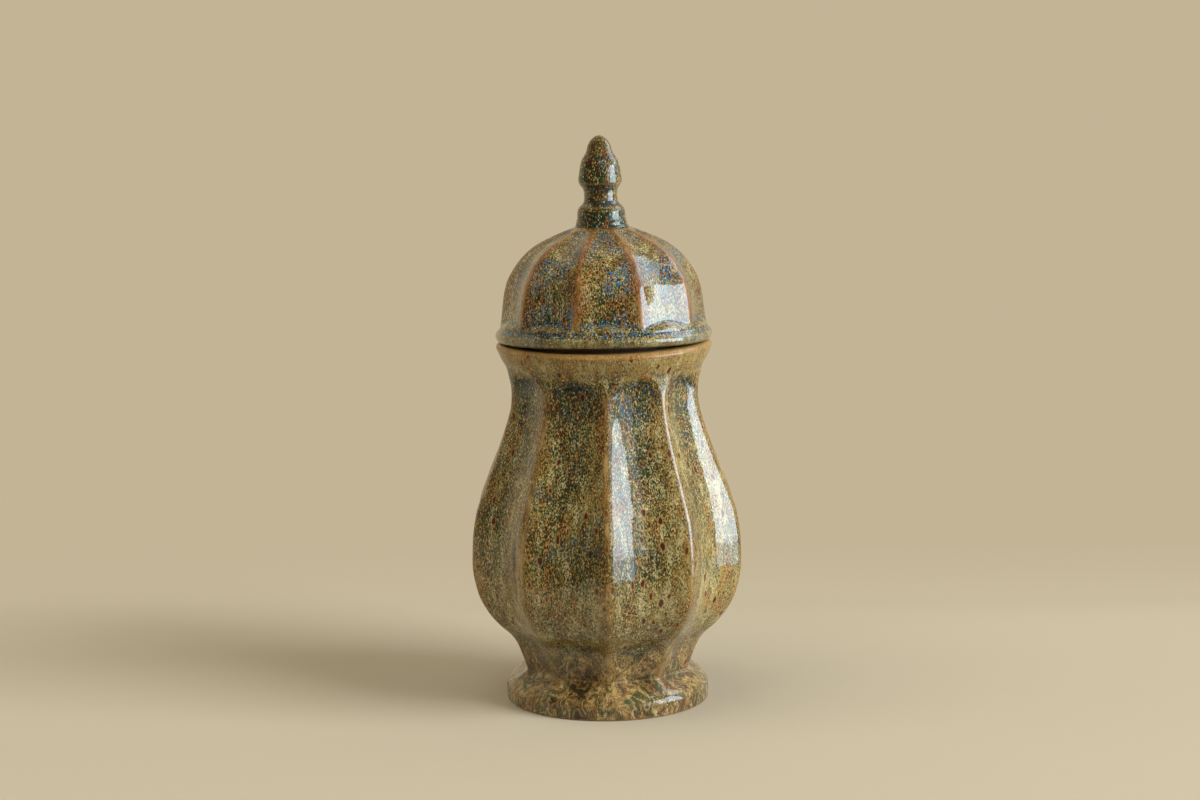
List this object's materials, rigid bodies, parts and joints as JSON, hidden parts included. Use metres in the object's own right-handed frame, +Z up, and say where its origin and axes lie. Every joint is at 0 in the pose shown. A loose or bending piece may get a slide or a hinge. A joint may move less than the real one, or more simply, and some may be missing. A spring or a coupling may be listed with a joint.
{
  "type": "lidded jar",
  "caption": "Tall fluted stoneware jar on a round foot, with a domed fluted lid, a turned finial and a locating flange under the lid.",
  "frame": {"origin": "centre of the foot ring's flat underside", "axes": "+Z up the jar's axis towards the finial, -Y towards the front, +X to the right seen from the front"},
  "size_m": [0.179, 0.1882, 0.3801],
  "materials": {
    "jar_glaze": "glossy speckled olive-brown reactive glaze",
    "foot_glaze": "glossy pooled and marbled reactive glaze",
    "lid_glaze": "glossy speckled olive and blue reactive glaze",
    "bare_stoneware": "unglazed fired stoneware",
    "finial_glaze": "glossy speckled brown reactive glaze"
  },
  "bodies": {
    "jar": {"jar_body": "jar_glaze", "foot_ring": "foot_glaze"},
    "lid": {"lid_dome": "lid_glaze", "lid_flange": "bare_stoneware", "finial": "finial_glaze"}
  },
  "joints": [
    {"name": "lid_lift", "type": "slide", "parent": "jar", "child": "lid", "axis": [0, 0, 1], "range_m": [0, 0.14]}
  ]
}
